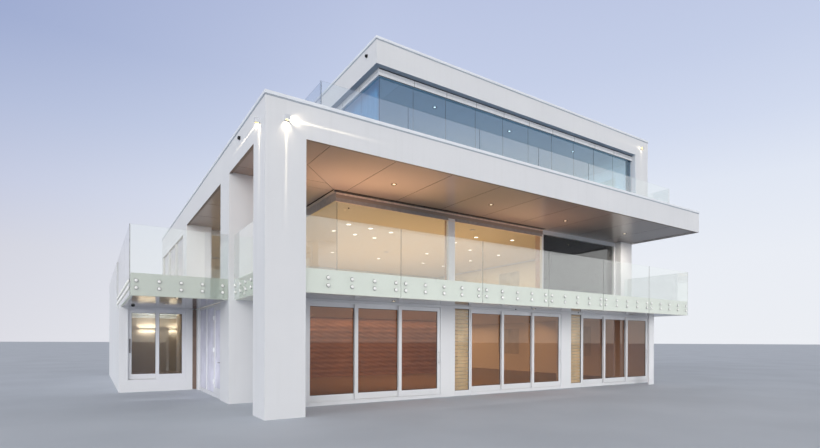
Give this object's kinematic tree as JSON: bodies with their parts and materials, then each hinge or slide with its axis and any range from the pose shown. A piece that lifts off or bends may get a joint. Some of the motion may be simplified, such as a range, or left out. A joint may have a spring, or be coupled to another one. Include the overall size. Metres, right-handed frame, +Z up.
{
  "type": "beach house",
  "caption": "Modern flat-roofed beach house on white piers, with a deep roof band, button-fixed glass balconies, a glazed top storey and sliding glass doors.",
  "frame": {"origin": "on the ground, under the middle of the plan's bounding box", "axes": "+X along the front to the right, +Y towards the back, +Z up"},
  "size_m": [17.935, 16.305, 9.405],
  "materials": {
    "white_render": "smooth painted render, matt",
    "white_aluminium": "powder coated, satin",
    "stone_floor": "honed stone tile",
    "painted_edge": "painted floor edge, matt",
    "soffit_panel": "grey composite panel, semi gloss",
    "cap_metal": "folded metal capping, satin",
    "polished_steel": "polished stainless steel",
    "blind_wood": "pale wooden slats",
    "light_body": "satin box light",
    "clear_glass": "clear toughened glass with a blue-green cast",
    "tinted_glass": "bronze tinted glass"
  },
  "bodies": {
    "house": {"ground_floor": "stone_floor", "corner_column": "white_render", "side_piers": "white_render", "end_post": "white_aluminium", "front_pilasters": "white_render", "return_walls": "white_render", "side_wall": "white_render", "wing_front_wall": "white_render", "wing_left_wall": "white_render", "rear_wall": "white_render", "right_wall": "white_render", "right_pier": "white_render", "inner_walls": "white_render", "mid_floor": "stone_floor", "balcony_slab": "painted_edge", "terrace_slab": "painted_edge", "lower_soffit": "soffit_panel", "mid_frames": "white_aluminium", "mid_glass": "clear_glass", "roof_deck": "stone_floor", "roof_soffit": "soffit_panel", "front_band": "white_render", "side_bands": "white_render", "rear_band": "white_render", "band_cap": "cap_metal", "roof_glass": "clear_glass", "roof_shoe": "cap_metal", "top_walls": "white_render", "top_pier": "white_render", "top_roof": "white_render", "top_fascia": "white_render", "top_cap": "cap_metal", "top_frames": "white_aluminium", "top_glass": "clear_glass", "balcony_glass": "clear_glass", "terrace_glass": "clear_glass", "glass_fixings": "polished_steel", "door_frames": "white_aluminium", "fixed_leaves": "white_aluminium", "fixed_glass": "tinted_glass", "slot_blinds": "blind_wood", "window_glass": "clear_glass", "wall_lights": "light_body"},
    "left_middle_door": {"left_middle_leaf": "white_aluminium", "left_middle_glass": "tinted_glass"},
    "left_lead_door": {"left_lead_leaf": "white_aluminium", "left_lead_glass": "tinted_glass"},
    "centre_middle_door": {"centre_middle_leaf": "white_aluminium", "centre_middle_glass": "tinted_glass"},
    "centre_lead_door": {"centre_lead_leaf": "white_aluminium", "centre_lead_glass": "tinted_glass"},
    "right_middle_door": {"right_middle_leaf": "white_aluminium", "right_middle_glass": "tinted_glass"},
    "right_lead_door": {"right_lead_leaf": "white_aluminium", "right_lead_glass": "tinted_glass"},
    "wing_door": {"wing_leaf": "white_aluminium", "wing_leaf_glass": "tinted_glass"},
    "side_door": {"side_door": "white_aluminium", "side_door_glass": "tinted_glass"}
  },
  "joints": [
    {"name": "left_middle_slide", "type": "slide", "parent": "house", "child": "left_middle_door", "axis": [-1, 0, 0], "range_m": [0, 1.229]},
    {"name": "left_lead_slide", "type": "slide", "parent": "house", "child": "left_lead_door", "axis": [-1, 0, 0], "range_m": [0, 2.458]},
    {"name": "centre_middle_slide", "type": "slide", "parent": "house", "child": "centre_middle_door", "axis": [-1, 0, 0], "range_m": [0, 1.229]},
    {"name": "centre_lead_slide", "type": "slide", "parent": "house", "child": "centre_lead_door", "axis": [-1, 0, 0], "range_m": [0, 2.458]},
    {"name": "right_middle_slide", "type": "slide", "parent": "house", "child": "right_middle_door", "axis": [-1, 0, 0], "range_m": [0, 1.229]},
    {"name": "right_lead_slide", "type": "slide", "parent": "house", "child": "right_lead_door", "axis": [-1, 0, 0], "range_m": [0, 2.458]},
    {"name": "wing_slide", "type": "slide", "parent": "house", "child": "wing_door", "axis": [1, 0, 0], "range_m": [0, 0.645]},
    {"name": "side_hinge", "type": "hinge", "parent": "house", "child": "side_door", "pos_m": [-6.8555, -3.2935, 0.1], "axis": [0, 0, -1], "range_deg": [0, 95]}
  ]
}
